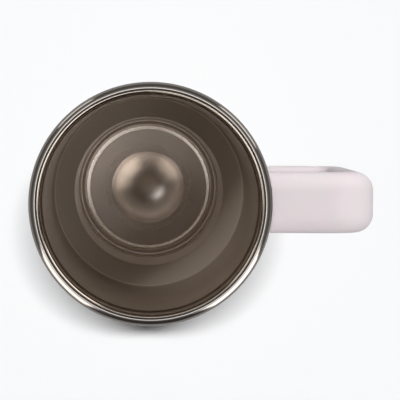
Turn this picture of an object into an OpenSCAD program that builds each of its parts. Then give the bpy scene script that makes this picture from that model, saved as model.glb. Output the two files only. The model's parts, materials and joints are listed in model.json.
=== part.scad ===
// Insulated tumbler: two steel walls with a vacuum between them, a narrow foot and a moulded side handle.
// Upright on +Z, origin on the axis in the plane of the foot, handle towards +X, millimetres.

/* [Outer wall] */
// Height from the foot to the top of the lip
vessel_h = 228; // [200:1:260]
// Outer radius at the lip
rim_r = 49.7; // [48:0.1:56]
// Outer radius at the top of the shoulder
shoulder_r = 49; // [46:0.1:51]
// Height of the top of the shoulder
shoulder_h = 83.5; // [70:0.5:95]
// Height that the shoulder slopes through
shoulder_drop = 13; // [9:0.5:20]
// Outer radius at the bottom of the shoulder
base_top_r = 40; // [38:0.1:43]
// Outer radius at the foot, before its corner is rounded
foot_r = 38.6; // [36.5:0.1:40]
// Rounding of the outer wall at the top of the shoulder
shoulder_round = 10; // [7:0.5:14]
// Rounding of the outer wall at the bottom of the shoulder
waist_round = 8; // [4:0.5:12]
// Thickness of the outer sheet
shell_t = 0.6; // [0.4:0.05:1]

/* [Mouth] */
// Width of the lip, from the outer wall to the straight band where a lid seats
lip_w = 4.6; // [4:0.1:6]
// Depth of the straight band below the lip
neck_depth = 16; // [10:0.5:24]
// Height of the crease that ends the straight band
crease_h = 1.2; // [0.6:0.1:3]
// Rounding of the lip on the mouth side
lip_round = 1.3; // [1:0.05:1.8]
// Width of the fine seam on top of the lip
seam_gap = 0.1; // [0.05:0.01:0.3]

/* [Inner wall and floor] */
// Clear gap between the two sheets
vacuum_gap = 3.9; // [3:0.1:4.8]
// Thickness of the inner sheet
liner_t = 0.5; // [0.3:0.05:0.9]
// Width of the fine ledge at the top of the inner shoulder
step_w = 0.4; // [0.2:0.05:0.8]
// Drop of the fine ledge across its width
step_drop = 0.2; // [0.1:0.05:0.4]
// Rounding of the inner wall at the bottom of the shoulder
liner_round = 2; // [1.2:0.1:6]
// Height of the weld between the inner wall and the floor
floor_weld_h = 20; // [17:0.5:24]
// Height of the raised edge of the floor
floor_h = 14; // [12.5:0.1:16]
// Depth of the channel round the floor below the raised edge
moat_depth = 1.3; // [0.9:0.1:1.7]
// Radial width of the slope from the channel up to the raised edge
moat_slope = 3.6; // [3.2:0.1:4.4]
// Rounding between the inner wall and the channel
moat_round = 0.8; // [0.6:0.1:1]
// Rounding of the raised edge beside the channel
plateau_round = 11; // [4:0.5:12]
// Dip of the ring between the raised edge and the dome
dish_h = 0.25; // [0.1:0.05:0.5]
// Radius of the dome in the middle of the floor
dome_r = 18; // [14:0.5:22]
// Height of the dome above its edge
dome_h = 1.7; // [1:0.1:4]

/* [Bottom] */
// Height of the weld between the outer wall and the bottom
bottom_weld_h = 8; // [6.5:0.5:12]
// Rounding of the outer corner of the foot
foot_round = 3.5; // [2:0.1:4.5]
// Width of the ring that the vessel stands on
foot_w = 6.1; // [5.5:0.1:8]
// Height of the recess above the foot plane
recess_h = 5; // [4:0.1:5.5]
// Rounding of the edges of the recess
recess_round = 1.3; // [0.8:0.1:1.7]
// Radius of the dimple that holds the vacuum seal
dimple_r = 6; // [4:0.1:9]
// Depth of the dimple
dimple_h = 1.3; // [0.8:0.1:1.6]
// Radius of the hole that the air was drawn out of
vent_r = 0.8; // [0.4:0.1:1.5]
// Radius of the seal bead
seal_r = 3.6; // [2.5:0.1:4.4]
// Gap between the cover plate and the rounding of the recess
cover_gap = 0.2; // [0.1:0.05:0.6]
// Height of the cover plate above the foot plane
cover_h = 1.6; // [0.8:0.1:2.4]
// Thickness of the cover plate
cover_t = 0.6; // [0.4:0.05:1]

/* [Inside the vacuum] */
// Thickness of the copper foil
foil_t = 0.15; // [0.1:0.05:0.4]
// Gap between the foil and the inner wall
foil_gap = 0.3; // [0.2:0.05:0.6]
// Margin of the foil from the neck and from the shoulder
foil_margin = 8; // [4:0.5:16]
// Radius of the getter tablet
getter_r = 4.5; // [3:0.1:6]
// Height of the getter tablet
getter_h = 2.5; // [1.5:0.1:3.2]
// Distance of the getter tablet from the axis
getter_x = 19; // [16:0.5:21]
// Width of the strip that holds the tablet
clip_w = 5; // [3:0.1:8]
// Thickness of the strip that holds the tablet
clip_t = 0.3; // [0.2:0.05:0.6]
// Gap between the tablet and the bent ends of the strip
clip_gap = 0.15; // [0.1:0.05:0.3]

/* [Handle] */
// Depth of the handle's top face below the lip
handle_drop = 20; // [16:0.5:40]
// Height of the handle's lower face above the shoulder
handle_rise = 4.5; // [3.5:0.5:12]
// Room for the fingers between the lip's radius and the grip
finger_gap = 31.4; // [27:0.1:40]
// Width of the handle from side to side
handle_w = 25.6; // [24:0.1:32]
// Thickness of the handle from the finger side to the outer face
handle_t = 13; // [12:0.1:15]
// Rounding of the handle's long edges on the outer face
edge_round = 7.8; // [6:0.1:8.4]
// Rounding of the handle's long edges on the finger side
grip_round = 4; // [3.2:0.1:4.6]
// Least flat on the handle's sides between its rounded edges
side_flat = 1.2; // [0.6:0.1:2]
// Radius of the inside corners of the handle
finger_round = 5; // [3:0.5:9]
// Wall of the two handle mouldings
handle_wall = 2.2; // [1.6:0.1:2.5]
// Depth of the parting line below the middle of the handle
parting_drop = 1.5; // [1.2:0.1:2]
// Gap at the parting line
parting_gap = 0.2; // [0.1:0.05:0.4]
// Thickness of the locating tongue inside the parting line
tongue_t = 1; // [0.8:0.1:1.1]
// Reach of the locating tongue above the parting line
tongue_h = 1.8; // [1:0.1:2.4]
// Height of the ledge that the tongue stands on
ledge_h = 1.2; // [0.8:0.1:1.6]
// Gap between the handle's ends and the wall of the vessel
handle_gap = 0.3; // [0.2:0.05:0.6]

/* [Handle fixings] */
// Distance of the handle screws from the lip's radius
screw_reach = 11.3; // [10:0.1:14]
// Radius of a screw's shank
screw_r = 2; // [1.5:0.1:2.4]
// Radius of a screw's head
head_r = 3.6; // [3:0.1:4]
// Thickness of a screw's head
head_t = 2; // [1.5:0.1:2.2]
// Radius of the six-sided socket, across its corners
socket_r = 1.9; // [1.4:0.1:2.1]
// Depth of the socket
socket_depth = 1.2; // [0.8:0.1:1.4]
// Clearance of a screw and a plug in their holes
screw_gap = 0.15; // [0.1:0.05:0.25]
// Wall round a screw's hole in the mouldings
boss_wall = 1.8; // [1.4:0.1:2.2]
// Thickness of a plug that hides a screw
plug_t = 1.2; // [0.8:0.1:1.4]
// Width of a bracket's arm
arm_w = 14; // [11:0.1:16]
// Thickness of a bracket's arm
arm_t = 2; // [1.4:0.1:2.2]
// Gap between a bracket's pad and the inside of the handle
pad_gap = 0.6; // [0.3:0.1:1.2]
// Thickness of a bracket's pad
pad_t = 1.2; // [0.8:0.1:2]
// Gap of the spot welds between a pad and the wall
weld_gap = 0.1; // [0.05:0.01:0.2]

/* [Hidden] */

$fn = 96;
// Straight steps in each rounded corner of a sheet
arc_steps = 8;
// Colours of the finishes
steel = [0.62, 0.58, 0.54];
coat = [0.90, 0.87, 0.88];
copper = [0.78, 0.50, 0.34];

// Both sheets and the gap between them
wall_t = shell_t + vacuum_gap + liner_t;
// Radii of the straight band inside the lip and of the seam on top of the lip
mouth_r = rim_r - lip_w;
seam_r = mouth_r + lip_round;
// Radius of the recess inside the foot
recess_r = foot_r - foot_w;
// Corners of the outer wall, from the lip down to the foot
wall_corners = [
    [rim_r, vessel_h],
    [shoulder_r, shoulder_h],
    [base_top_r, shoulder_h - shoulder_drop],
    [foot_r, 0]
];
// The same corners on the face that the drink touches
liner_corners = beside(wall_corners, -wall_t);
neck_h = vessel_h - neck_depth;
// Radii of the two walls where the floor and the bottom are welded on
floor_weld_r = radius_at(liner_corners[2], liner_corners[3], floor_weld_h);
bottom_weld_r = radius_at(wall_corners[2], wall_corners[3], bottom_weld_h);
// Middle lines of the handle's arms, grip and bends
upper_z = vessel_h - handle_drop - handle_t / 2;
lower_z = shoulder_h + handle_rise + handle_t / 2;
grip_x = rim_r + finger_gap + handle_t / 2;
bend_r = finger_round + handle_t / 2;
// Distance of the locating tongue from the handle's surface, and the clear space inside the handle
tongue_inset = handle_wall + parting_gap;
hollow_t = handle_t - 2 * handle_wall;
hollow_w = handle_w - 2 * (tongue_inset + tongue_t);
// Place of the screws, the holes for shank and head, and the depth of a seat from the finger side
screw_x = rim_r + screw_reach;
shank_hole_r = screw_r + screw_gap;
head_hole_r = head_r + screw_gap;
seat_depth = plug_t + head_t + screw_gap;
// Height of a screw post, from a bracket's arm into the wall of a moulding
post_h = (hollow_t - arm_t + handle_wall) / 2;

// Unit vector along v, and v turned by angle a
function unit(v) = v / norm(v);
function turned(v, a) = [v[0] * cos(a) - v[1] * sin(a), v[0] * sin(a) + v[1] * cos(a)];

// Radius at height z on the straight line from a to b
function radius_at(a, b, z) = a[0] + (b[0] - a[0]) * (z - a[1]) / (b[1] - a[1]);

// Unit vector to the left of the step from a to b
function left_of(a, b) = turned(unit(b - a), 90);

// A line that runs beside path at distance t, on its left where t is positive
function beside(path, t) =
    let (last = len(path) - 1)
    [for (i = [0:last])
        let (
            n1 = left_of(path[max(i - 1, 0)], path[max(i, 1)]),
            n2 = left_of(path[min(i, last - 1)], path[min(i + 1, last)])
        )
        path[i] + t * (n1 + n2) / (1 + n1 * n2)];

// Arc of radius r that rounds the corner b between a and c
function rounding(a, b, c, r) =
    let (
        u = unit(a - b),
        w = unit(c - b),
        open = acos(u * w),
        hub = b + unit(u + w) * r / sin(open / 2),
        from = b + u * r / tan(open / 2) - hub,
        sweep = (180 - open) * sign(cross(w, u))
    )
    [for (i = [0:arc_steps]) hub + turned(from, sweep * i / arc_steps)];

// Path through corners, each rounded by the radius in rounds, where 0 keeps it sharp
function rounded(corners, rounds) =
    [for (i = [0:len(corners) - 1])
        each rounds[i] == 0
            ? [corners[i]]
            : rounding(corners[i - 1], corners[i], corners[i + 1], rounds[i])];

// Sheet metal of thickness t on the left of path, spun round the axis
module spun_sheet(path, t) {
    back = beside(path, t);
    last = len(back) - 1;
    rotate_extrude()
        polygon(concat(path, [for (i = [last:-1:0]) [max(back[i][0], 0), back[i][1]]]));
}

// Inner wall: a stepped tube with half of the lip, a straight band at the mouth and a ledge at the shoulder
module inner_wall() {
    crease_z = neck_h - crease_h;
    crease_r = radius_at(liner_corners[0], liner_corners[1], crease_z);
    path = rounded(
        [
            [seam_r - seam_gap / 2, vessel_h],
            [mouth_r, vessel_h],
            [mouth_r, neck_h],
            [crease_r, crease_z],
            liner_corners[1],
            liner_corners[1] - [step_w, step_drop],
            liner_corners[2],
            [floor_weld_r, floor_weld_h]
        ],
        [0, lip_round - seam_gap, 0, 0, 0, 0, liner_round, 0]
    );
    color(steel) spun_sheet(path, liner_t);
}

// Floor: a stamped plate with a channel round it, a raised edge, a dished ring and a low dome
module inner_floor() {
    moat_z = floor_h - moat_depth;
    moat_r = radius_at(liner_corners[2], liner_corners[3], moat_z);
    dome_z = floor_h - dish_h;
    ball_r = (dome_r * dome_r + dome_h * dome_h) / (2 * dome_h);
    edge_arc = asin(dome_r / ball_r);
    edge = rounded(
        [
            [floor_weld_r, floor_weld_h],
            [moat_r, moat_z],
            [moat_r - moat_slope, floor_h],
            [dome_r, dome_z]
        ],
        [0, moat_round, plateau_round, 0]
    );
    dome = [for (i = [1:arc_steps])
        let (a = edge_arc * (1 - i / arc_steps))
        [ball_r * sin(a), dome_z + dome_h - ball_r + ball_r * cos(a)]];
    color(steel) spun_sheet(concat(edge, dome), liner_t);
}

// Copper foil wrapped round the inner wall between the neck and the shoulder
module heat_foil() {
    top_z = neck_h - crease_h - foil_margin;
    low_z = liner_corners[1][1] + foil_margin;
    inner = liner_t + foil_gap;
    wall = [for (z = [top_z, low_z]) [radius_at(liner_corners[0], liner_corners[1], z), z]];
    color(copper) spun_sheet(beside(wall, inner), foil_t);
}

// Spring strip on the bottom, bent up and over both ends of the getter tablet
module getter_clip() {
    half = getter_r + clip_gap;
    tall = 2 * clip_t + getter_h;
    color(steel)
        translate([getter_x, 0, recess_h + shell_t])
        rotate([90, 0, 0])
        linear_extrude(clip_w, center = true)
        difference() {
            translate([-half - clip_t, 0]) square([2 * (half + clip_t), tall]);
            translate([-half, clip_t]) square([2 * half, getter_h]);
            translate([-getter_r / 2, clip_t]) square([getter_r, tall]);
        }
}

// Getter tablet: pressed metal powder that keeps the vacuum clean
module getter_tablet() {
    color([0.35, 0.35, 0.37])
        translate([getter_x, 0, recess_h + shell_t + clip_t])
        cylinder(h = getter_h, r = getter_r);
}

// Outer wall: a stepped tube that turns in at the top to make the other half of the lip
module outer_shell() {
    lip_r = seam_r + seam_gap / 2;
    path = rounded(
        concat(
            [[lip_r, vessel_h]],
            [for (i = [0:2]) wall_corners[i]],
            [[bottom_weld_r, bottom_weld_h]]
        ),
        [0, rim_r - lip_r - seam_gap, shoulder_round, waist_round, 0]
    );
    color(coat) spun_sheet(path, -shell_t);
}

// Bottom: a stamped plate with the ring that the vessel stands on, a recess and a sealed dimple
module outer_bottom() {
    dimple_z = recess_h + dimple_h;
    path = rounded(
        [
            [bottom_weld_r, bottom_weld_h],
            [foot_r, 0],
            [recess_r, 0],
            [recess_r - shell_t, recess_h],
            [dimple_r + dimple_h, recess_h],
            [dimple_r, dimple_z],
            [vent_r, dimple_z]
        ],
        [0, foot_round, recess_round, recess_round, dimple_h / 2, dimple_h / 2, 0]
    );
    color(steel) spun_sheet(path, -shell_t);
}

// Bead of solder that closes the hole in the dimple
module vacuum_seal() {
    ball_r = (seal_r * seal_r + dimple_h * dimple_h) / (2 * dimple_h);
    color([0.45, 0.45, 0.47])
        translate([0, 0, recess_h + dimple_h])
        intersection() {
            translate([0, 0, ball_r - dimple_h]) sphere(ball_r);
            translate([0, 0, -dimple_h]) cylinder(h = dimple_h, r = seal_r);
        }
}

// Cover plate: a shallow dish in the recess, with its edge turned up against the bottom
module base_cover() {
    cover_r = recess_r - shell_t - recess_round - cover_gap;
    path = rounded(
        [[cover_r, recess_h], [cover_r, cover_h], [0, cover_h]],
        [0, recess_round, 0]
    );
    color(steel) spun_sheet(path, -cover_t);
}

// Places its children on the middle line of both arms, with +Z towards the outer face
module at_both_arms() {
    translate([0, 0, upper_z]) children();
    translate([0, 0, lower_z]) mirror([0, 0, 1]) children();
}

// One side of the handle's section: from x = 0 out to reach, with both edges there rounded by r
module rounded_side(reach, wide, r) {
    translate([0, r - wide / 2]) square([reach, wide - 2 * r]);
    translate([0, -wide / 2]) square([reach - r, wide]);
    intersection() {
        translate([0, -wide / 2]) square([reach, wide]);
        for (side = [-1, 1])
            translate([reach - r, side * (wide / 2 - r)]) circle(r);
    }
}

// Section of the handle drawn in by inset: thickness along x with the outer face at +x, width along y
module handle_section(inset) {
    wide = handle_w - 2 * inset;
    edge_r = min(edge_round, handle_t - grip_round - side_flat);
    // Middle of the flat that is left on the sides
    flat_x = (grip_round - edge_r) / 2;
    translate([flat_x, 0]) rounded_side(handle_t / 2 - inset - flat_x, wide, edge_r - inset);
    translate([flat_x, 0]) mirror([1, 0])
        rounded_side(handle_t / 2 - inset + flat_x, wide, grip_round - inset);
}

// Outline of a bracket's pad: the inside of the handle drawn in by the pad's gap
module pad_outline() {
    intersection() {
        handle_section(handle_wall + pad_gap);
        square([handle_t, hollow_w - 2 * pad_gap], center = true);
    }
}

// Bracket: a pad spot-welded to the wall, with a drilled arm that reaches into the handle.
// The handle's outer face is above its arm where outer is 1, and below it where outer is -1.
module bracket(z, outer) {
    heights = [z + handle_t / 2, z - handle_t / 2];
    wall = [for (h = heights) [radius_at(wall_corners[0], wall_corners[1], h), h]];
    front = beside(wall, weld_gap);
    back = beside(wall, weld_gap + pad_t);
    half_angle = asin(handle_w / 2 / shoulder_r);
    arm_x = radius_at(wall_corners[0], wall_corners[1], z) + weld_gap + pad_t / 2;
    color(steel)
        difference() {
            union() {
                intersection() {
                    rotate([0, 0, -half_angle])
                        rotate_extrude(angle = 2 * half_angle)
                        polygon([front[0], front[1], back[1], back[0]]);
                    translate([0, 0, z])
                        rotate([0, -90 * outer, 0])
                        linear_extrude(2 * screw_x, center = true) pad_outline();
                }
                translate([arm_x, -arm_w / 2, z - arm_t / 2]) cube([screw_x - arm_x, arm_w, arm_t]);
                translate([screw_x, 0, z - arm_t / 2]) cylinder(h = arm_t, r = arm_w / 2);
            }
            translate([screw_x, 0, z - arm_t]) cylinder(h = 2 * arm_t, r = shank_hole_r);
        }
}

module upper_bracket() {
    bracket(upper_z, 1);
}

module lower_bracket() {
    bracket(lower_z, -1);
}

// The inset section, kept from thickness low to thickness high
module handle_band(inset, low, high) {
    intersection() {
        handle_section(inset);
        translate([low, -handle_w]) square([high - low, 2 * handle_w]);
    }
}

// Wall of the inset section, kept from thickness low to thickness high
module handle_ring(inset, wall, low, high) {
    difference() {
        handle_band(inset, low, high);
        handle_section(inset + wall);
    }
}

// Carries a section along the handle: out from the wall, down the grip and back to the wall
module along_handle() {
    start_x = rim_r / 2;
    arm_l = grip_x - bend_r - start_x;
    grip_l = upper_z - lower_z - 2 * bend_r;
    rotate([90, 0, 0]) {
        translate([start_x, upper_z, 0])
            rotate([0, 0, 90]) rotate([90, 0, 0]) linear_extrude(arm_l) children();
        translate([grip_x - bend_r, upper_z - bend_r, 0])
            rotate_extrude(angle = 90) translate([bend_r, 0]) children();
        translate([grip_x, upper_z - bend_r, 0])
            rotate([90, 0, 0]) linear_extrude(grip_l) children();
        translate([grip_x - bend_r, lower_z + bend_r, 0])
            rotate([0, 0, -90]) rotate_extrude(angle = 90) translate([bend_r, 0]) children();
        translate([start_x + arm_l, lower_z, 0])
            rotate([0, 0, -90]) rotate([90, 0, 0]) linear_extrude(arm_l) children();
    }
}

// The vessel's wall with the handle's gap round it, which shapes the ends of the arms
module wall_clearance() {
    rotate_extrude()
        polygon([
            [0, shoulder_h],
            [shoulder_r + handle_gap, shoulder_h],
            [rim_r + handle_gap, vessel_h],
            [0, vessel_h]
        ]);
}

// Outer moulding of the handle: a rounded channel with a blind screw post in each arm
module handle_shell() {
    color(coat)
        difference() {
            union() {
                along_handle() handle_ring(0, handle_wall, -parting_drop, handle_t);
                at_both_arms()
                    translate([screw_x, 0, arm_t / 2])
                    cylinder(h = post_h, r = shank_hole_r + boss_wall);
            }
            at_both_arms()
                translate([screw_x, 0, 0])
                cylinder(h = hollow_t / 2, r = shank_hole_r);
            wall_clearance();
        }
}

// Section of the finger-side moulding: its wall, the ledge at the parting line and the tongue
module insert_section() {
    top = -parting_drop - parting_gap;
    handle_ring(0, handle_wall, -handle_t, top);
    difference() {
        union() {
            handle_band(0, top - ledge_h, top);
            handle_band(tongue_inset, top - ledge_h, top + tongue_h);
        }
        square([2 * handle_t, hollow_w], center = true);
    }
}

// Finger-side moulding of the handle: closes the channel, with a bored seat for each screw
module handle_insert() {
    color(coat)
        difference() {
            union() {
                along_handle() insert_section();
                at_both_arms()
                    translate([screw_x, 0, -arm_t / 2 - post_h])
                    cylinder(h = post_h, r = head_hole_r + boss_wall);
            }
            at_both_arms()
                translate([screw_x, 0, -handle_t]) {
                    cylinder(h = handle_t, r = shank_hole_r);
                    cylinder(h = handle_t / 2 + seat_depth, r = head_hole_r);
                }
            wall_clearance();
        }
}

// Two socket screws, each through the insert and a bracket into the outer moulding
module handle_screws() {
    seat_z = seat_depth - handle_t / 2;
    tip_z = hollow_t / 2 - screw_gap;
    color(steel)
        at_both_arms()
        translate([screw_x, 0, 0])
        difference() {
            union() {
                translate([0, 0, seat_z - head_t]) cylinder(h = head_t, r = head_r);
                translate([0, 0, seat_z]) cylinder(h = tip_z - seat_z, r = screw_r);
            }
            translate([0, 0, seat_z - 2 * head_t])
                cylinder(h = head_t + socket_depth, r = socket_r, $fn = 6);
        }
}

// Two push-in plugs that hide the screws, flush with the finger side of the handle
module screw_plugs() {
    color(coat)
        at_both_arms()
        translate([screw_x, 0, -handle_t / 2])
        cylinder(h = plug_t, r = head_r);
}

inner_wall();
inner_floor();
heat_foil();
getter_clip();
getter_tablet();
outer_shell();
outer_bottom();
vacuum_seal();
base_cover();
upper_bracket();
lower_bracket();
handle_shell();
handle_insert();
handle_screws();
screw_plugs();
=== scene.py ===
import json

import bmesh
import bpy
import numpy as np
from mathutils import Matrix, Vector


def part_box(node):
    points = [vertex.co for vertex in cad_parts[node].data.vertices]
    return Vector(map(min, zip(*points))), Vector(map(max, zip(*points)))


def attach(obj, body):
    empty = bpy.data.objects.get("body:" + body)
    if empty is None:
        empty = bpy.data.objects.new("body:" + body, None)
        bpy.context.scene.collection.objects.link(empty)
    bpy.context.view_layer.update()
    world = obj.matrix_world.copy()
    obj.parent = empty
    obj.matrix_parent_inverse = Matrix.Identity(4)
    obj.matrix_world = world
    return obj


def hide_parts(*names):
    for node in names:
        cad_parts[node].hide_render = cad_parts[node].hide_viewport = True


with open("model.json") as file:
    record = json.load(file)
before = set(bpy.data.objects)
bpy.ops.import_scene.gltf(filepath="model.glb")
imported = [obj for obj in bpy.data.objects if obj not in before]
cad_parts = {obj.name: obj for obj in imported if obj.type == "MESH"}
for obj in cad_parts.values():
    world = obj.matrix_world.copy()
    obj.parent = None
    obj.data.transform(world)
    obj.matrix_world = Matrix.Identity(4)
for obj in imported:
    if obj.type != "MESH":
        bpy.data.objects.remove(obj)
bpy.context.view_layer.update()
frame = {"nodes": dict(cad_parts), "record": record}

# Inner wall: the stepped tube that holds the drink, formed from one stainless sheet and satin-finished.
# Below the lip it has a straight band where a lid seats, and its top edge rolls over into
# the inner half of the lip, which is polished.
mm = 0.001
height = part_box("inner_wall")[1].z
mouth_r = frame["record"]["mounts"][1]["dims"]["r_mm"] * mm
floor_weld_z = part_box("inner_wall")[0].z
rim_r = 49.7 * mm
shoulder_r = 49.0 * mm
shoulder_z = 83.5 * mm
waist_r = 40.0 * mm
waist_z = 70.5 * mm
foot_r = 38.6 * mm
shoulder_round = 10.0 * mm
waist_round = 8.0 * mm
wall_gap = 5.0 * mm
liner_t = 0.5 * mm
step_w = 0.4 * mm
step_drop = 0.2 * mm
edge_fine = 0.4 * mm
liner_waist_round = 2.0 * mm
lip_round = 1.2 * mm
lip_seam = 0.1 * mm
seam_r = mouth_r + lip_round + lip_seam
neck_z = height - 16.0 * mm
crease_z = neck_z - 1.2 * mm
crease_round = 0.8 * mm
fine_hold = 0.15 * mm
same_point = 0.0001 * mm
sharp_angle = np.radians(35.0)


def corner_arc(before, corner, after, radius, steps=14):
    """Arc of the given radius that touches both legs of a corner. Its hub lies on the bisector,
    radius / sin(half the opening) away, and the arc turns about the hub in equal steps."""
    legs = [(p - corner) / np.linalg.norm(p - corner) for p in (before, after)]
    half = np.arccos(np.clip(legs[0] @ legs[1], -1, 1)) / 2
    hub = corner + (legs[0] + legs[1]) / np.linalg.norm(legs[0] + legs[1]) * radius / np.sin(half)
    start = corner + legs[0] * radius / np.tan(half) - hub
    side = np.sign(legs[1][0] * legs[0][1] - legs[1][1] * legs[0][0])
    turn = side * (np.pi - 2 * half) * np.linspace(0, 1, steps + 1)
    x = start[0] * np.cos(turn) - start[1] * np.sin(turn)
    y = start[0] * np.sin(turn) + start[1] * np.cos(turn)
    return hub + np.stack([x, y], -1)


def rounded_line(corners, radii, closed=False, hold=0.4 * mm):
    """Line through corners, each replaced by its arc where the radius isn't 0. Every straight gets two more
    points, hold away from its ends or at 30% of a short one, which keep its shading flat."""
    corners = np.asarray(corners, float)
    n = len(corners)
    runs = [
        corner_arc(corners[i - 1], corners[i], corners[(i + 1) % n], r) if r > 0 else corners[i : i + 1]
        for i, r in enumerate(radii)
    ]
    line = []
    for i, run in enumerate(runs):
        line.append(run)
        if closed or i < n - 1:
            a, b = run[-1], runs[(i + 1) % n][0]
            share = min(0.3, hold / np.linalg.norm(b - a))
            line.append(np.stack([a + (b - a) * share, b + (a - b) * share]))
    return np.concatenate(line)


def beside(line, distance):
    """The line moved sideways: each point goes along the sum of the left normals of its two steps,
    divided by 1 + their dot product, so that both steps move by distance."""
    step = np.diff(line, axis=0)
    step /= np.linalg.norm(step, axis=1, keepdims=True)
    left = np.stack([-step[:, 1], step[:, 0]], -1)
    before = np.concatenate([left[:1], left])
    after = np.concatenate([left, left[-1:]])
    return line + distance * (before + after) / (1 + (before * after).sum(1, keepdims=True))


def mesh_piece(name, grid, caps=False):
    """Object from a grid of points whose rows and columns both close on themselves, unless caps is true:
    then the rows are open, and the first and last are each closed by one face."""
    rows, columns = grid.shape[:2]
    index = np.arange(rows * columns).reshape(rows, columns)
    ahead = np.roll(index, -1, axis=1)
    quads = np.stack([index, ahead, np.roll(ahead, -1, axis=0), np.roll(index, -1, axis=0)], -1)
    faces = (quads[:-1] if caps else quads).reshape(-1, 4).tolist()
    if caps:
        faces += [index[0][::-1].tolist(), index[-1].tolist()]
    mesh = bpy.data.meshes.new(name)
    mesh.from_pydata(grid.reshape(-1, 3).tolist(), [], faces)
    shape = bmesh.new()
    shape.from_mesh(mesh)
    bmesh.ops.remove_doubles(shape, verts=shape.verts, dist=same_point)
    bmesh.ops.recalc_face_normals(shape, faces=shape.faces)
    shape.to_mesh(mesh)
    shape.free()
    mesh.polygons.foreach_set("use_smooth", np.ones(len(mesh.polygons), bool))
    mesh.set_sharp_from_angle(angle=sharp_angle)
    piece = bpy.data.objects.new(name, mesh)
    bpy.context.scene.collection.objects.link(piece)
    return piece


def spun(name, loop, centre_x=0.0, turns=360):
    """Surface of revolution about an upright axis: the loop's point (r, z) at turn a lies at
    (centre + r cos a, r sin a, z)."""
    a = np.linspace(0, 2 * np.pi, turns, endpoint=False)
    r, z = loop[:, :1], loop[:, 1:]
    return mesh_piece(name, np.stack([centre_x + r * np.cos(a), r * np.sin(a), z + 0 * a], -1))


def sheet_loop(line, thickness):
    """Closed section of sheet metal: the line, and back along the line beside it."""
    back = beside(line, thickness)
    back[:, 0] = np.maximum(back[:, 0], 0)
    return np.concatenate([line, back[::-1]])


def radius_on(a, b, z):
    """Radius at height z on the straight line from a to b, two (r, z) points."""
    return a[0] + (b[0] - a[0]) * (z - a[1]) / (b[1] - a[1])


def linear(red, green, blue):
    """Colour as a render reads it, from the 0 to 255 values of a screen. With c from 0 to 1 it is
    (c + 0.055) / 1.055 to the power 2.4, or c / 12.92 up to 0.04045."""
    screen = np.array([red, green, blue]) / 255
    return tuple(np.where(screen <= 0.04045, screen / 12.92, ((screen + 0.055) / 1.055) ** 2.4)) + (1.0,)


def node(tree, kind, inputs=None, **settings):
    """Adds a node, sets its properties, and fills its inputs with a value or with a link from the output
    of another node."""
    made = tree.nodes.new(kind)
    for key, value in settings.items():
        setattr(made, key, value)
    for key, value in (inputs or {}).items():
        if isinstance(value, bpy.types.NodeSocket):
            tree.links.new(value, made.inputs[key])
        else:
            made.inputs[key].default_value = value
    return made


def worked(tree, operation, first, second):
    """Output of a math node that works on two values."""
    return node(tree, "ShaderNodeMath", {0: first, 1: second}, operation=operation).outputs[0]


def mixed(tree, share, first, second):
    """Output of a mix node: the first colour where the share is 0, the second where it is 1."""
    return node(tree, "ShaderNodeMix", {0: share, 6: first, 7: second}, data_type="RGBA").outputs[2]


def ranged(tree, value, low, high, start=0.0, end=1.0):
    """Output of a map range node: low where the value is start, high where it is end, straight between."""
    sockets = {"Value": value, "From Min": start, "From Max": end, "To Min": low, "To Max": high}
    return node(tree, "ShaderNodeMapRange", sockets).outputs[0]


def ramped(tree, value, stops):
    """Output of a colour ramp node, whose stops are given as (position, colour) from low to high."""
    ramp = node(tree, "ShaderNodeValToRGB", {0: value})
    elements = ramp.color_ramp.elements
    while len(elements) < len(stops):
        elements.new(1.0)
    for stop, (position, colour) in zip(elements, stops):
        stop.position, stop.color = position, colour
    return ramp.outputs[0]


def shader_group(name, inputs, outputs):
    """Empty shader node group with float inputs, given as name: default, and float outputs."""
    group = bpy.data.node_groups.new(name, "ShaderNodeTree")
    for label, default in inputs.items():
        socket = group.interface.new_socket(label, in_out="INPUT", socket_type="NodeSocketFloat")
        socket.default_value = default
    for label in outputs:
        group.interface.new_socket(label, in_out="OUTPUT", socket_type="NodeSocketFloat")
    return group, group.nodes.new("NodeGroupInput").outputs, group.nodes.new("NodeGroupOutput").inputs


def finish_material(name, **plain):
    """New material with a Principled shader whose plain sockets hold one value each."""
    material = bpy.data.materials.new(name)
    material.use_nodes = True
    tree = material.node_tree
    shader = tree.nodes["Principled BSDF"]
    for label, value in plain.items():
        shader.inputs[label.replace("_", " ")].default_value = value
    return material, tree, shader


# Marks that turning leaves round the axis: noise on (cos, sin) of the turn, drawn out, and fine across it
cloud_scale = 38.0
spun_marks, given, result = shader_group(
    "spun marks", {"Lines per mm": 3.0, "Length": 3.0}, ["Lines", "Clouds"]
)
place = node(spun_marks, "ShaderNodeTexCoord").outputs["Object"]
split = node(spun_marks, "ShaderNodeSeparateXYZ", {0: place}).outputs
flat = node(spun_marks, "ShaderNodeCombineXYZ", {0: split[0], 1: split[1]}).outputs[0]
radius = node(spun_marks, "ShaderNodeVectorMath", {0: flat}, operation="LENGTH").outputs["Value"]
around = node(spun_marks, "ShaderNodeVectorMath", {0: flat}, operation="NORMALIZE").outputs["Vector"]
along = worked(spun_marks, "ADD", radius, split[2])
fine = worked(spun_marks, "MULTIPLY", along, given["Lines per mm"])
across = worked(spun_marks, "MULTIPLY", fine, 1 / mm)
lift = node(spun_marks, "ShaderNodeCombineXYZ", {2: across}).outputs[0]
drawn = node(
    spun_marks, "ShaderNodeVectorMath", {0: around, "Scale": given["Length"]}, operation="SCALE"
).outputs[0]
spot = node(spun_marks, "ShaderNodeVectorMath", {0: drawn, 1: lift}, operation="ADD").outputs[0]
lines = node(spun_marks, "ShaderNodeTexNoise", {"Vector": spot, "Scale": 1.0, "Detail": 3.0})
clouds = node(spun_marks, "ShaderNodeTexNoise", {"Vector": place, "Scale": cloud_scale, "Detail": 2.0})
spun_marks.links.new(lines.outputs["Fac"], result["Lines"])
spun_marks.links.new(clouds.outputs["Fac"], result["Clouds"])
mark_depth = 0.01 * mm


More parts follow.
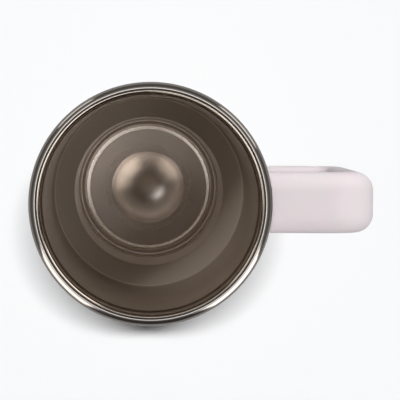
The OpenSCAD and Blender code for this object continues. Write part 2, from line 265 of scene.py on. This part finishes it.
def steel(name, dark, light, bands, marking, outward=False):
    """Stainless steel: the colour drifts between dark and light in soft clouds. Bands give the finish by
    height, or by radius where outward is true, as (place, share of bright metal, roughness), and marking
    is how deep the turning marks stand in it."""
    material, tree, shader = finish_material(name)
    marks = node(tree, "ShaderNodeGroup", node_tree=spun_marks).outputs
    tone = mixed(tree, marks["Clouds"], dark, light)
    place = node(tree, "ShaderNodeTexCoord").outputs["Object"]
    split = node(tree, "ShaderNodeSeparateXYZ", {0: place}).outputs
    level = split[2]
    if outward:
        flat = node(tree, "ShaderNodeCombineXYZ", {0: split[0], 1: split[1]}).outputs[0]
        level = node(tree, "ShaderNodeVectorMath", {0: flat}, operation="LENGTH").outputs["Value"]
    stops = [(at / height, (metal, rough, 0.0, 1.0)) for at, metal, rough in bands]
    ramp = ramped(tree, worked(tree, "DIVIDE", level, height), stops)
    finish = node(tree, "ShaderNodeSeparateColor", {0: ramp}).outputs
    grain = ranged(tree, marks["Lines"], 1 - marking, 1 + marking)
    rough = worked(tree, "MULTIPLY", finish[1], grain)
    relief = node(
        tree, "ShaderNodeBump", {"Height": marks["Lines"], "Strength": marking, "Distance": mark_depth}
    )
    tree.links.new(tone, shader.inputs["Base Color"])
    tree.links.new(finish[0], shader.inputs["Metallic"])
    tree.links.new(rough, shader.inputs["Roughness"])
    tree.links.new(relief.outputs[0], shader.inputs["Normal"])
    return material


def dress(piece, slot, *materials):
    """Gives a piece its materials and its place on the object's one body. The slot is not used."""
    for material in materials:
        piece.data.materials.append(material)
    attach(piece, "root")
    return piece


wall_corners = np.array([[rim_r, height], [shoulder_r, shoulder_z], [waist_r, waist_z], [foot_r, 0]])
liner_corners = beside(wall_corners, -wall_gap)
liner_shoulder_z = liner_corners[1][1]
liner_waist_z = liner_corners[2][1]
floor_weld_r = radius_on(liner_corners[2], liner_corners[3], floor_weld_z)
crease_r = radius_on(liner_corners[0], liner_corners[1], crease_z)
liner_line = rounded_line(
    [
        [seam_r - lip_seam / 2, height],
        [mouth_r, height],
        [mouth_r, neck_z],
        [crease_r, crease_z],
        liner_corners[1],
        liner_corners[1] - [step_w, step_drop],
        liner_corners[2],
        [floor_weld_r, floor_weld_z],
    ],
    [0, lip_round, crease_round, crease_round, edge_fine, edge_fine, liner_waist_round, 0],
    hold=fine_hold,
)
base_bright_z = 24.0 * mm
base_satin_z = 30.0 * mm
below_waist_far = 12.0 * mm
below_waist_near = 7.0 * mm
finish_edge = 1.0 * mm
base_finish = (0.30, 0.32)
waist_finish = (0.86, 0.32)
shoulder_finish = (0.86, 0.40)
upper_finish = (0.97, 0.22)
wall_steel = steel(
    "satin wall steel",
    dark=linear(184, 170, 156),
    light=linear(192, 179, 165),
    bands=[
        (base_bright_z, 1.0, 0.14),
        (base_satin_z, *base_finish),
        (liner_waist_z - below_waist_far, *base_finish),
        (liner_waist_z - below_waist_near, *waist_finish),
        (liner_waist_z - finish_edge, *waist_finish),
        (liner_waist_z, *shoulder_finish),
        (liner_shoulder_z - step_drop, *shoulder_finish),
        (liner_shoulder_z + finish_edge, *upper_finish),
        (crease_z, *upper_finish),
        (neck_z, 1.0, 0.13),
    ],
    marking=0.02,
)
inner_wall = dress(spun("inner_wall_sheet", sheet_loop(liner_line, liner_t)), "inner_steel", wall_steel)
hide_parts("inner_wall")


# Floor: one stamped stainless plate, welded to the wall's lower edge. A channel runs round it, then a
# raised edge and a level ring a little below it, and its middle is pressed up into a low dome.
floor_z = 14.0 * mm
dish_h = 0.25 * mm
level_z = floor_z - dish_h
moat_z = floor_z - 1.3 * mm
moat_round = 0.8 * mm
edge_outer_r = 31.6 * mm
edge_inner_r = 30.35 * mm
ring_r = 28.9 * mm
edge_outer_round = 3.6 * mm
edge_inner_round = 2.5 * mm
dome_r = 18.0 * mm
dome_h = 1.7 * mm
dome_steps = 24
moat_r = radius_on(liner_corners[2], liner_corners[3], moat_z)
ball_r = (dome_r**2 + dome_h**2) / (2 * dome_h)
floor_edge = rounded_line(
    [
        [floor_weld_r, floor_weld_z],
        [moat_r, moat_z],
        [edge_outer_r, floor_z],
        [edge_inner_r, floor_z],
        [ring_r, level_z],
        [dome_r, level_z],
    ],
    [0, moat_round, edge_outer_round, edge_inner_round, edge_inner_round, 0],
)
tilt = np.arcsin(dome_r / ball_r) * np.linspace(1, 0, dome_steps + 1)[1:]
dome_z = level_z + dome_h - ball_r + ball_r * np.cos(tilt)
dome = np.stack([ball_r * np.sin(tilt), dome_z], -1)
floor_line = np.concatenate([floor_edge, dome])
floor_steel = steel(
    "satin floor steel",
    dark=linear(189, 175, 164),
    light=linear(197, 184, 172),
    bands=[
        (dome_r - finish_edge, 1.0, 0.16),
        (dome_r, 1.0, 0.24),
        (ring_r - finish_edge, 1.0, 0.34),
        (ring_r, 1.0, 0.24),
        (edge_inner_r, 1.0, 0.22),
        (edge_outer_r, 1.0, 0.34),
        (edge_outer_r + finish_edge, 0.86, 0.42),
    ],
    marking=0.02,
    outward=True,
)
inner_floor = dress(spun("inner_floor_plate", sheet_loop(floor_line, liner_t)), "inner_steel", floor_steel)
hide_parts("inner_floor")


# Inside the vacuum: a copper foil wrapped round the inner wall against radiant heat, and a tablet of pressed
# metal powder, held by a spring strip, that takes up stray gas. No view reaches them.
hidden_lines = 1.2
hidden_spread = 0.2


def hidden_finish(name, dark, light, metallic, roughness):
    """Finish of a piece inside: its colour drifts in the lines of the turning marks, and its roughness in
    their clouds, by a fifth to either side."""
    material, tree, shader = finish_material(name, Metallic=metallic)
    marks = node(tree, "ShaderNodeGroup", {"Lines per mm": hidden_lines}, node_tree=spun_marks).outputs
    tone = mixed(tree, marks["Lines"], dark, light)
    rough = ranged(tree, marks["Clouds"], (1 - hidden_spread) * roughness, (1 + hidden_spread) * roughness)
    tree.links.new(tone, shader.inputs["Base Color"])
    tree.links.new(rough, shader.inputs["Roughness"])
    return material


def finish_node(name, material):
    """Puts a finish on a solid of the frame that shows its own shape."""
    solid = frame["nodes"][name]
    solid.data.materials.clear()
    solid.data.materials.append(material)


plain_steel = hidden_finish(
    "plain steel", linear(170, 167, 163), linear(188, 185, 181), metallic=1.0, roughness=0.35
)
copper_foil = hidden_finish(
    "copper foil", linear(208, 138, 98), linear(226, 160, 118), metallic=1.0, roughness=0.22
)
pressed_powder = hidden_finish(
    "pressed powder", linear(88, 88, 92), linear(110, 110, 113), metallic=0.6, roughness=0.75
)
finish_node("heat_foil", copper_foil)
finish_node("getter_tablet", pressed_powder)
finish_node("getter_clip", plain_steel)


# Outer wall: the stepped steel tube outside the vacuum, rolled in at the top to meet the inner wall in the
# lip's fine seam. Below a bare polished band it is powder-coated, pale, with a fine orange-peel surface.
shell_t = 0.6 * mm
coat_t = 0.08 * mm
bare_band = 8.0 * mm
shell_weld_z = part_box("outer_shell")[0].z
shell_weld_r = radius_on(wall_corners[2], wall_corners[3], shell_weld_z)
shell_top_r = seam_r + lip_seam / 2
outer_lip_round = rim_r - shell_top_r - lip_seam
coat_z = height - bare_band
coat_r = radius_on(wall_corners[0], wall_corners[1], coat_z)
coat_start = [coat_r + coat_t, coat_z - 2 * coat_t]
lip_edge = rounded_line(
    [[shell_top_r, height], [rim_r, height], [coat_r, coat_z], coat_start], [0, outer_lip_round, 0, 0]
)
coat_edge = rounded_line(
    [
        coat_start,
        [shoulder_r + coat_t, shoulder_z],
        [waist_r + coat_t, waist_z],
        [shell_weld_r + coat_t, shell_weld_z],
    ],
    [0, shoulder_round, waist_round, 0],
)
shell_line = np.concatenate([lip_edge, coat_edge[1:]])

# Surface of a coat or a moulding: a fine even grain, and a slow drift for the colour
drift_scale = 75.0
drift_low = 0.35
drift_high = 0.65
rough_spread = 0.05
grain_bumps, given, result = shader_group("moulded grain", {"Bumps per mm": 2.0}, ["Grain", "Drift"])
place = node(grain_bumps, "ShaderNodeTexCoord").outputs["Object"]
per_metre = worked(grain_bumps, "MULTIPLY", given["Bumps per mm"], 1 / mm)
grain = node(grain_bumps, "ShaderNodeTexNoise", {"Vector": place, "Scale": per_metre, "Detail": 2.0})
drift = node(grain_bumps, "ShaderNodeTexNoise", {"Vector": place, "Scale": drift_scale, "Detail": 1.0})
grain_bumps.links.new(grain.outputs["Fac"], result["Grain"])
grain_bumps.links.new(drift.outputs["Fac"], result["Drift"])


def pale_finish(name, cool, warm, roughness, per_mm, bump, depth):
    """Pale coat or plastic: the colour drifts between a cool and a warm white, and a fine grain stands in
    the relief and a little in the roughness."""
    material, tree, shader = finish_material(name)
    grains = node(tree, "ShaderNodeGroup", {"Bumps per mm": per_mm}, node_tree=grain_bumps).outputs
    drift = ranged(tree, grains["Drift"], 0.0, 1.0, drift_low, drift_high)
    tone = mixed(tree, drift, cool, warm)
    rough = ranged(tree, grains["Grain"], roughness - rough_spread, roughness + rough_spread)
    relief = node(tree, "ShaderNodeBump", {"Height": grains["Grain"], "Strength": bump, "Distance": depth})
    tree.links.new(tone, shader.inputs["Base Color"])
    tree.links.new(rough, shader.inputs["Roughness"])
    tree.links.new(relief.outputs[0], shader.inputs["Normal"])
    return material


below_lip_far = 6.0 * mm
below_lip_near = 3.0 * mm
lip_steel = steel(
    "polished lip steel",
    dark=linear(184, 175, 167),
    light=linear(192, 184, 176),
    bands=[(height - below_lip_far, 1.0, 0.22), (height - below_lip_near, 1.0, 0.12)],
    marking=0.05,
)
powder_coat = pale_finish(
    "pale powder coat",
    cool=linear(222, 216, 218),
    warm=linear(227, 217, 221),
    roughness=0.42,
    per_mm=1.6,
    bump=0.25,
    depth=0.03 * mm,
)


def split_materials(piece, on_coat):
    """Second material on the faces whose middle the test on radius and height picks."""
    faces = piece.data.polygons
    middle = np.empty(len(faces) * 3)
    faces.foreach_get("center", middle)
    x, y, z = middle.reshape(-1, 3).T
    faces.foreach_set("material_index", on_coat(np.hypot(x, y), z).astype(np.int32))


outer_shell = dress(
    spun("outer_shell_sheet", sheet_loop(shell_line, -shell_t)), "coated_steel", lip_steel, powder_coat
)
split_materials(outer_shell, lambda r, z: z < coat_z)
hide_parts("outer_shell")


# Bottom: a stamped steel plate welded into the outer wall, with the ring that the tumbler stands on and a
# recess. Its side takes the same coat down to the foot. A bead of solder seals the pumped-out hole, and a
# shallow steel dish covers it.
foot_round = 3.5 * mm
foot_w = 6.1 * mm
recess_r = foot_r - foot_w
coat_end_z = 0.35 * foot_round
coat_end_r = recess_r + foot_round
recess_z = 5.0 * mm
recess_round = 1.3 * mm
dimple_r = 6.0 * mm
dimple_h = 1.3 * mm
vent_r = 0.8 * mm
cover_gap = 0.2 * mm
cover_r = recess_r - shell_t - recess_round - cover_gap
cover_z = 1.6 * mm
cover_t = 0.6 * mm
bottom_line = rounded_line(
    [
        [shell_weld_r + coat_t, shell_weld_z],
        [foot_r + coat_t, 0],
        [recess_r, 0],
        [recess_r - shell_t, recess_z],
        [dimple_r + dimple_h, recess_z],
        [dimple_r, recess_z + dimple_h],
        [vent_r, recess_z + dimple_h],
    ],
    [0, foot_round, recess_round, recess_round, dimple_h / 2, dimple_h / 2, 0],
)
foot_steel = steel(
    "satin foot steel",
    dark=linear(176, 171, 165),
    light=linear(186, 181, 175),
    bands=[(0, 1.0, 0.32), (recess_z, 1.0, 0.26)],
    marking=0.15,
)
outer_bottom = dress(
    spun("outer_bottom_plate", sheet_loop(bottom_line, -shell_t)), "plain_steel", foot_steel, powder_coat
)
split_materials(outer_bottom, lambda r, z: (z > coat_end_z) & (r > coat_end_r))
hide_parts("outer_bottom")

cover_line = rounded_line([[cover_r, recess_z], [cover_r, cover_z], [0, cover_z]], [0, recess_round, 0])
base_cover = dress(spun("base_cover_dish", sheet_loop(cover_line, -cover_t)), "plain_steel", foot_steel)
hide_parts("base_cover")
dull_solder = hidden_finish(
    "dull solder", linear(120, 120, 123), linear(150, 150, 152), metallic=0.9, roughness=0.5
)
finish_node("vacuum_seal", dull_solder)


# Brackets: two stainless pads spot-welded to the outer wall, each with a drilled arm that the handle's screw
# goes through. The handle closes over them.
for bracket in ("upper_bracket", "lower_bracket"):
    finish_node(bracket, plain_steel)


# Handle: two plastic mouldings screwed together round the brackets. The outer one is a deep channel with
# wide rounded edges, and the finger-side one closes it along a fine parting line. Both are carried along one
# path, out from the wall, down the grip and back, with ends that follow the wall.
handle_low, handle_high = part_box("handle_shell")
handle_t = 13.0 * mm
handle_w = handle_high.y - handle_low.y
finger_round = 5.0 * mm
edge_round = 7.8 * mm
grip_round = 4.0 * mm
handle_wall = 2.2 * mm
wall_clear = 0.3 * mm
parting_t = -1.5 * mm
parting_gap = 0.2 * mm
parting_edge = 0.35 * mm
tongue_in = 2.4 * mm
tongue_t = 1.0 * mm
tongue_top = 0.1 * mm
tongue_edge = 0.2 * mm
ledge_h = 1.2 * mm
insert_round = 1.2 * mm
arm_end = [1, 0.98]
arm_start = 0.95
arm_steps = 6
bend_steps = 28
bend_r = finger_round + handle_t / 2
arm_z = handle_high.z - handle_t / 2
low_arm_z = handle_low.z + handle_t / 2
grip_x = handle_high.x - handle_t / 2
half_t = handle_t / 2
half_w = handle_w / 2


def handle_path():
    """Middle line of the handle from arm to arm, with quarter circles for bends, as x, z, the outward
    normal's x and z, and how much of the wall's own shape the arm takes: 1 at the wall, 0 from the bends."""
    share = np.concatenate([arm_end, np.linspace(arm_start, 0, arm_steps)])
    turn = np.linspace(0, np.pi / 2, bend_steps + 1)
    hub_x = grip_x - bend_r
    x = np.concatenate([np.full(len(share), hub_x), hub_x + bend_r * np.sin(turn)])
    z = np.concatenate([np.full(len(share), arm_z), arm_z - bend_r + bend_r * np.cos(turn)])
    nx = np.concatenate([np.zeros(len(share)), np.sin(turn)])
    nz = np.concatenate([np.ones(len(share)), np.cos(turn)])
    share = np.concatenate([share, np.zeros(len(turn))])
    mirrored_z = arm_z + low_arm_z - z
    return (
        np.concatenate([x, x[::-1]]),
        np.concatenate([z, mirrored_z[::-1]]),
        np.concatenate([nx, nx[::-1]]),
        np.concatenate([nz, -nz[::-1]]),
        np.concatenate([share, share[::-1]]),
    )


def along_handle(name, section):
    """The closed section (thickness t, width y) carried along the path: a point lies at the middle line plus
    t times the normal, and near the wall it slides along the arm to the wall's own curve, where x is the
    root of r(z) squared less y squared."""
    x, z, nx, nz, share = (row[:, None] for row in handle_path())
    t, y = section[:, 0][None], section[:, 1][None]
    px, pz, py = x + t * nx, z + t * nz, y + 0 * x
    wall_x = np.sqrt((radius_on(wall_corners[0], wall_corners[1], pz) + wall_clear) ** 2 - py**2)
    px = px + (wall_x - px) * share
    return mesh_piece(name, np.stack([px, py, pz], -1), caps=True)


shell_half = [
    ([half_t, half_w], edge_round),
    ([parting_t, half_w], parting_edge),
    ([parting_t, half_w - handle_wall], 0),
    ([half_t - handle_wall, half_w - handle_wall], edge_round - handle_wall),
]
insert_top = parting_t - parting_gap
insert_half = [
    ([insert_top, half_w], parting_edge),
    ([insert_top, half_w - tongue_in], 0),
    ([tongue_top, half_w - tongue_in], tongue_edge),
    ([tongue_top, half_w - tongue_in - tongue_t], tongue_edge),
    ([insert_top - ledge_h, half_w - tongue_in - tongue_t], 0),
    ([insert_top - ledge_h, half_w - handle_wall], 0),
    ([handle_wall - half_t, half_w - handle_wall], insert_round),
]


def both_halves(half, last):
    """Closed section from its corners at +y: they are mirrored to -y in the opposite order, and the last
    corners, given with their radii, close it."""
    corners = [c for c, r in half] + [[c[0], -c[1]] for c, r in half[::-1]] + last[0]
    radii = [r for c, r in half] + [r for c, r in half[::-1]] + last[1]
    return rounded_line(corners, radii, closed=True)


handle_plastic = pale_finish(
    "satin handle plastic",
    cool=linear(221, 213, 215),
    warm=linear(224, 213, 217),
    roughness=0.40,
    per_mm=3.0,
    bump=0.15,
    depth=0.02 * mm,
)
outer_moulding = along_handle("handle_outer_moulding", both_halves(shell_half, ([], [])))
handle_shell = dress(outer_moulding, "handle_plastic", handle_plastic)
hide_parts("handle_shell")
finger_edges = ([[-half_t, -half_w], [-half_t, half_w]], [grip_round, grip_round])
handle_insert = along_handle("handle_finger_moulding", both_halves(insert_half, finger_edges))


# Screws and plugs: a socket screw through each arm holds both mouldings to its bracket. A push-in plastic
# plug hides each head, flush with the finger side and with a fine gap round it.
plug_low, plug_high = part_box("screw_plugs")
plug_r = (plug_high.y - plug_low.y) / 2
plug_x = (plug_high.x + plug_low.x) / 2
plug_t = 1.2 * mm
plug_gap = 0.15 * mm
plug_edge = 0.25 * mm
plug_turns = 96
seat_past = 1.1
plug_faces = {"upper": (plug_high.z - plug_t, plug_high.z), "lower": (plug_low.z + plug_t, plug_low.z)}


def disc_loop(radius, face_z, back_z, edge):
    """Section of a round plate: from the axis along its face, over the edge, and back to the axis."""
    corners = [[0, face_z], [radius, face_z], [radius, back_z], [0, back_z]]
    return rounded_line(corners, [0, edge, 0, 0], hold=plug_edge)


def bore_seat(piece, face_z, back_z):
    """Takes an upright round seat out of a piece, from in front of its face to behind its wall."""
    reach = (back_z - face_z) * handle_wall / plug_t
    seat = disc_loop(plug_r + plug_gap, face_z - reach, face_z + seat_past * reach, 0)
    cutter = spun("plug_seat", seat, plug_x, plug_turns)
    cut = piece.modifiers.new("plug seat", "BOOLEAN")
    cut.object, cut.operation, cut.solver = cutter, "DIFFERENCE", "EXACT"
    bored = bpy.data.meshes.new_from_object(piece.evaluated_get(bpy.context.evaluated_depsgraph_get()))
    piece.modifiers.clear()
    piece.data = bored
    bpy.data.objects.remove(cutter)


plug_plastic = pale_finish(
    "satin plug plastic",
    cool=linear(222, 215, 217),
    warm=linear(226, 216, 220),
    roughness=0.45,
    per_mm=3.0,
    bump=0.15,
    depth=0.02 * mm,
)
plugs = []
for side, (face_z, back_z) in plug_faces.items():
    bore_seat(handle_insert, face_z, back_z)
    plug = spun(f"screw_plug_{side}", disc_loop(plug_r, face_z, back_z, plug_edge), plug_x, plug_turns)
    plugs.append(dress(plug, "plug_plastic", plug_plastic))
    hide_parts("screw_plugs")
dress(handle_insert, "handle_plastic", handle_plastic)
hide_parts("handle_insert")
finish_node("handle_screws", plain_steel)


# Stage: a wide pale floor that the tumbler stands on. To the camera its far part is plain white, and in the
# steel it shows as a mid grey.
floor_half = 6.0
near_r = 0.09
far_r = 0.18
floor_white = linear(249, 250, 251)
floor_grey = linear(165, 165, 166)
black = (0.0, 0.0, 0.0, 1.0)
corners = np.array([[-1, -1, 0], [1, -1, 0], [1, 1, 0], [-1, 1, 0]]) * floor_half
floor_mesh = bpy.data.meshes.new("pale_floor")
floor_mesh.from_pydata(corners.tolist(), [], [[0, 1, 2, 3]])
pale_floor = bpy.data.objects.new("pale_floor", floor_mesh)
bpy.context.scene.collection.objects.link(pale_floor)
floor_paint, tree, shader = finish_material(
    "matt floor paint", Roughness=0.9, Specular_IOR_Level=0.0, Emission_Strength=1.0
)
spot = node(tree, "ShaderNodeTexCoord").outputs["Object"]
away = node(tree, "ShaderNodeVectorMath", {0: spot}, operation="LENGTH").outputs["Value"]
far = ranged(tree, away, 0.0, 1.0, near_r, far_r)
seen = node(tree, "ShaderNodeLightPath").outputs["Is Camera Ray"]
glow = worked(tree, "MULTIPLY", far, seen)
paint = mixed(tree, seen, floor_grey, floor_white)
lit = mixed(tree, glow, paint, black)
white = mixed(tree, glow, black, floor_white)
tree.links.new(lit, shader.inputs["Base Color"])
tree.links.new(white, shader.inputs["Emission Color"])
pale_floor.data.materials.append(floor_paint)


# Surroundings: white to the camera, dim to matt surfaces, and in the steel a pale ring overhead with a dark
# middle, weaker towards the front.
ambient = (0.06, 0.058, 0.056, 1.0)
front_share = 0.4
front_from = -0.35
front_to = -0.60
tent = [
    (0.00, (0.12, 0.12, 0.12, 1.0)),
    (0.62, (0.12, 0.12, 0.12, 1.0)),
    (0.76, (0.40, 0.38, 0.36, 1.0)),
    (0.86, (0.58, 0.55, 0.52, 1.0)),
    (0.895, (1.95, 2.07, 2.22, 1.0)),
    (0.925, (1.95, 2.07, 2.22, 1.0)),
    (0.95, (0.034, 0.029, 0.025, 1.0)),
    (0.985, (0.026, 0.022, 0.019, 1.0)),
    (1.00, (0.190, 0.160, 0.138, 1.0)),
]
world = bpy.data.worlds.new("studio")
bpy.context.scene.world = world
world.use_nodes = True
tree = world.node_tree
way = node(tree, "ShaderNodeTexCoord").outputs["Generated"]
ways = node(tree, "ShaderNodeSeparateXYZ", {0: way}).outputs
ring = ramped(tree, ways[2], tent)
back = ranged(tree, ways[1], front_share, 1.0, front_to, front_from)
shine = mixed(tree, back, black, ring)
path = node(tree, "ShaderNodeLightPath").outputs
unseen = mixed(tree, path["Is Glossy Ray"], ambient, shine)
sky = mixed(tree, path["Is Camera Ray"], unseen, floor_white)
tree.links.new(sky, tree.nodes["Background"].inputs["Color"])


# Light: a narrow key almost overhead, which lays the vessel's shadow to the front, a softer key and wide
# fills kept to the handle and the vessel's outside, without bounces, lamps kept to the inside, and panels
# that show only as reflections in the steel.
cool_white = (0.90, 0.95, 1.0)


def gathered(name, pieces):
    """Collection of pieces that a light can be kept to."""
    group = bpy.data.collections.new(name)
    for piece in pieces:
        group.objects.link(piece)
    return group


def panel(name, azimuth, tilt, distance, wide, tall, radiance, shine=True, fill=True):
    """Area light of a given radiance that looks at the middle of the lip from an azimuth, at a tilt off the
    axis. Its width lies level, and its power is pi times the radiance times its area."""
    a, t = np.radians(azimuth), np.radians(tilt)
    toward = Vector((np.cos(a) * np.sin(t), np.sin(a) * np.sin(t), np.cos(t)))
    level = Vector((-np.sin(a), np.cos(a), 0))
    light = bpy.data.lights.new(name, "AREA")
    light.shape, light.size, light.size_y = "RECTANGLE", wide, tall
    light.energy = np.pi * radiance * wide * tall
    lamp = bpy.data.objects.new(name, light)
    turn = Matrix((level, toward.cross(level), toward)).transposed()
    lamp.matrix_world = Matrix.Translation(Vector((0, 0, height)) + distance * toward) @ turn.to_4x4()
    lamp.visible_glossy, lamp.visible_diffuse, lamp.visible_camera = shine, fill, False
    bpy.context.scene.collection.objects.link(lamp)
    return lamp


vessel = gathered("vessel", [inner_wall, inner_floor, outer_shell, outer_bottom, base_cover])
outside = gathered("outside", [pale_floor, outer_shell, outer_bottom, base_cover])
inside = gathered("inside", [inner_wall, inner_floor])
outer_lip = gathered("outer lip", [outer_shell])
inner_lip = gathered("inner lip", [inner_wall])
pale = gathered("pale pieces", [handle_shell, handle_insert, *plugs, outer_shell, outer_bottom, base_cover])
key = panel("key", azimuth=90, tilt=6.0, distance=5.0, wide=0.80, tall=0.11, radiance=915.0, shine=False)
key.light_linking.receiver_collection = outside
key.light_linking.blocker_collection = vessel
# Each lamp below: azimuth, tilt, distance, width, height, radiance and the pieces that it is kept to
soft_lights = {
    "handle key": (70, 12, 3.0, 1.2, 1.2, 13.9, pale),
    "right fill": (20, 82, 1.5, 1.6, 1.2, 2.7, pale),
    "back fill": (105, 82, 1.5, 1.6, 1.2, 2.2, pale),
    "left fill": (190, 82, 1.5, 1.6, 1.2, 1.8, pale),
    "front fill": (270, 82, 1.5, 1.6, 1.2, 2.5, pale),
    "mouth light": (0, 1, 2.0, 0.6, 0.6, 33.0, inside),
    "shoulder light": (134, 27.2, 2.0, 1.6, 0.10, 245.0, inside),
    "base light": (335, 17, 2.0, 0.4, 0.4, 45.0, inside),
}
for name, (azimuth, tilt, distance, wide, tall, radiance, pieces) in soft_lights.items():
    lamp = panel(name, azimuth, tilt, distance, wide, tall, radiance, shine=False)
    lamp.light_linking.receiver_collection = pieces
    if pieces is pale:
        lamp.data.cycles.max_bounces = 0
        lamp.data.cycles.use_multiple_importance_sampling = False
reflections = {
    "right lip panel": (316, 66, 0.93, 0.54, 0.85, 2.6, outer_lip),
    "left lip panel": (224, 66, 0.93, 0.52, 0.85, 2.2, outer_lip),
    "right strip": (40, 82, 1.3, 0.6, 0.5, 1.3, outer_lip),
    "left strip": (131, 82, 1.3, 0.5, 0.5, 1.0, outer_lip),
    "left mouth panel": (225, 58, 0.95, 1.50, 0.40, 1.7, inner_lip),
    "right mouth panel": (40, 58, 0.95, 0.62, 0.40, 3.2, inner_lip),
    "front mouth panel": (340, 58, 0.95, 0.55, 0.40, 1.0, inner_lip),
    "back mouth panel": (150, 58, 0.95, 0.35, 0.40, 1.5, inner_lip),
    "right inner panel": (325, 20.5, 1.0, 0.40, 0.33, 2.55, inside),
    "left inner panel": (222, 23, 1.0, 0.30, 0.28, 2.6, inside),
    "front inner panel": (270, 24, 1.0, 0.25, 0.16, 2.3, inside),
    "inner spot": (314, 14.0, 1.0, 0.15, 0.15, 1.3, inside),
}
for name, (azimuth, tilt, distance, wide, tall, radiance, pieces) in reflections.items():
    lamp = panel(name, azimuth, tilt, distance, wide, tall, radiance, fill=False)
    lamp.light_linking.receiver_collection = pieces
    if pieces is inside:
        lamp.data.color = cool_white


# Camera: far off and a little behind the axis, looking down into the mouth with the handle to the right.
focal_px = 2312.0
frame_px = 400.0
eye = Vector((-5.5, 38.0, 1164.4)) * mm
aim = Vector((20.0, 1.9, 228.0)) * mm
roll = -0.0062
camera = bpy.data.cameras.new("camera")
camera.sensor_width = 36.0
camera.lens = focal_px * camera.sensor_width / frame_px
camera.clip_end = 50.0
looker = bpy.data.objects.new("camera", camera)
ahead = (aim - eye).normalized()
right = ahead.cross(Vector((np.sin(roll), np.cos(roll), 0))).normalized()
turn = Matrix((right, right.cross(ahead), -ahead)).transposed()
looker.matrix_world = Matrix.Translation(eye) @ turn.to_4x4()
bpy.context.scene.collection.objects.link(looker)
bpy.context.scene.camera = looker
bpy.context.scene.view_settings.view_transform = "Standard"
